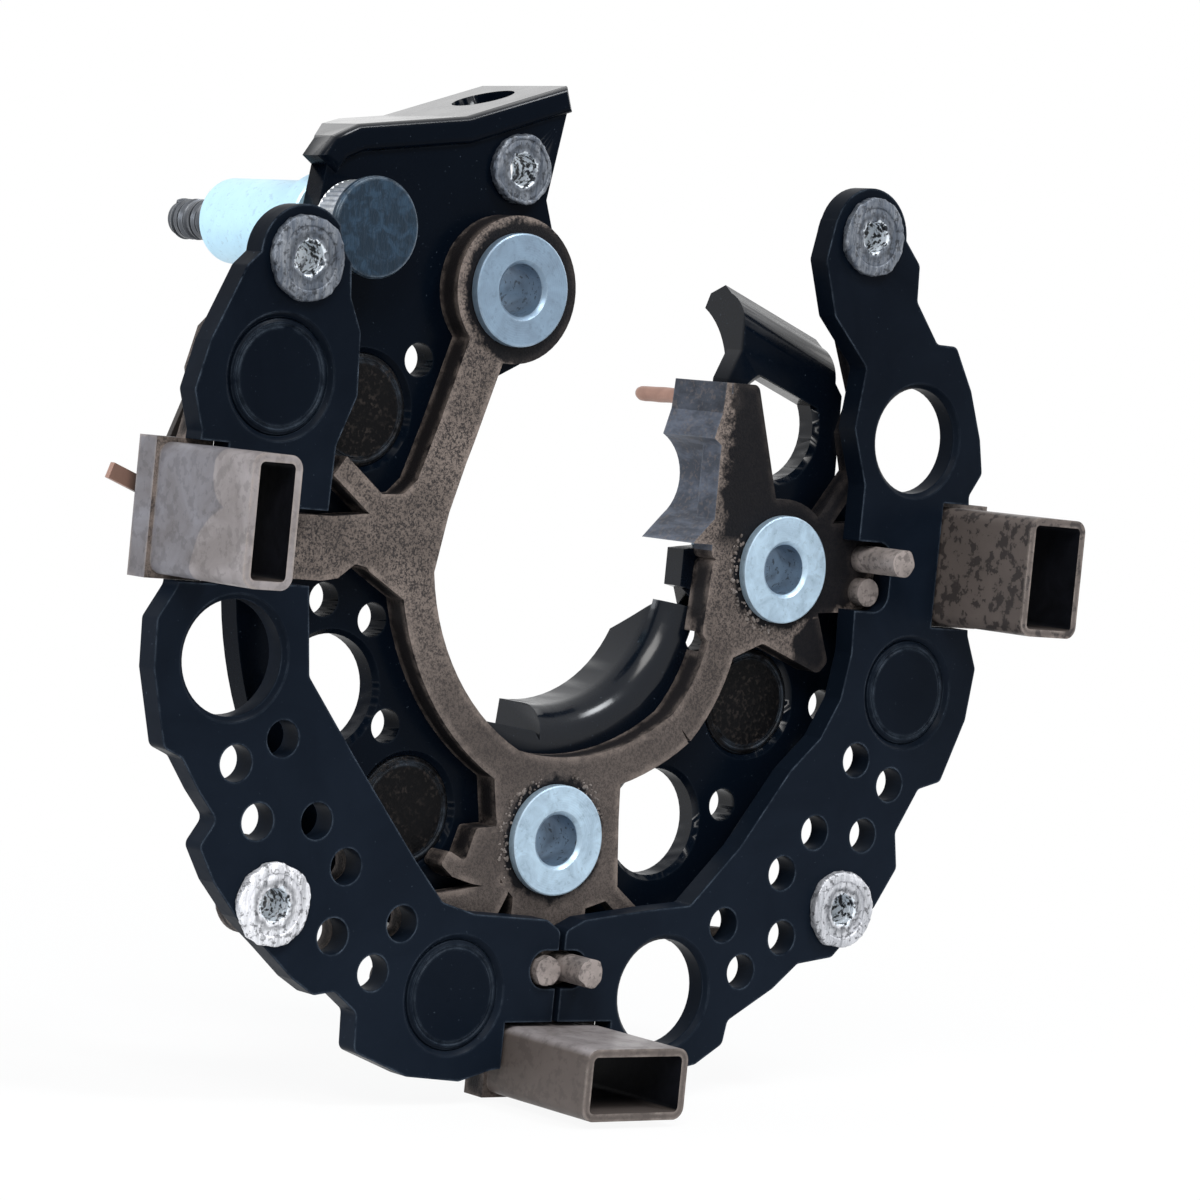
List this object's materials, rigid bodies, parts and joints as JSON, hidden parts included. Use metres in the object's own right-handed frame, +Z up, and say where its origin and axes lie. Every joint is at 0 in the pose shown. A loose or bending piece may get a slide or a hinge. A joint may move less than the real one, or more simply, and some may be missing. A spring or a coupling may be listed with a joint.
{
  "type": "alternator rectifier",
  "caption": "Horseshoe-shaped rectifier of a car alternator: two layers of black heat-sink fins with pressed diodes, a plastic terminal moulding with guide tubes, bushings and an output stud.",
  "frame": {"origin": "on the alternator's shaft axis, in the front face of the two front fins", "axes": "+Y along the shaft towards the output stud's tip, away from the alternator's housing; +Z up, through the horseshoe's open side; +X to the right as seen from the front"},
  "size_m": [0.1225, 0.0563, 0.1164],
  "materials": {
    "fin_coat": "gloss black dip coat, worn",
    "moulding": "matt, baked and stained",
    "rivet": "dull and scratched",
    "diode_case": "coated, satin",
    "terminal": "tinned copper, dull",
    "lead_copper": "bare copper",
    "zinc": "blue-white zinc plating",
    "stud": "plated steel, knurled"
  },
  "bodies": {
    "root": {"front_fin_left": "fin_coat", "front_fin_right": "fin_coat", "rear_fin": "fin_coat", "terminal_moulding": "moulding", "front_rivets": "rivet", "top_rivet": "rivet", "b_plus_stud": "stud", "stud_sleeve": "zinc", "regulator_lead": "lead_copper", "negative_diode_left": "diode_case", "positive_diode_left": "diode_case", "stator_terminal_left": "terminal", "negative_diode_bottom": "diode_case", "positive_diode_bottom": "diode_case", "stator_terminal_bottom": "terminal", "negative_diode_right": "diode_case", "positive_diode_right": "diode_case", "stator_terminal_right": "terminal", "bushing_top": "zinc", "bushing_washer_top": "zinc", "bushing_right": "zinc", "bushing_washer_right": "zinc", "bushing_bottom": "zinc", "bushing_washer_bottom": "zinc"}
  },
  "joints": []
}
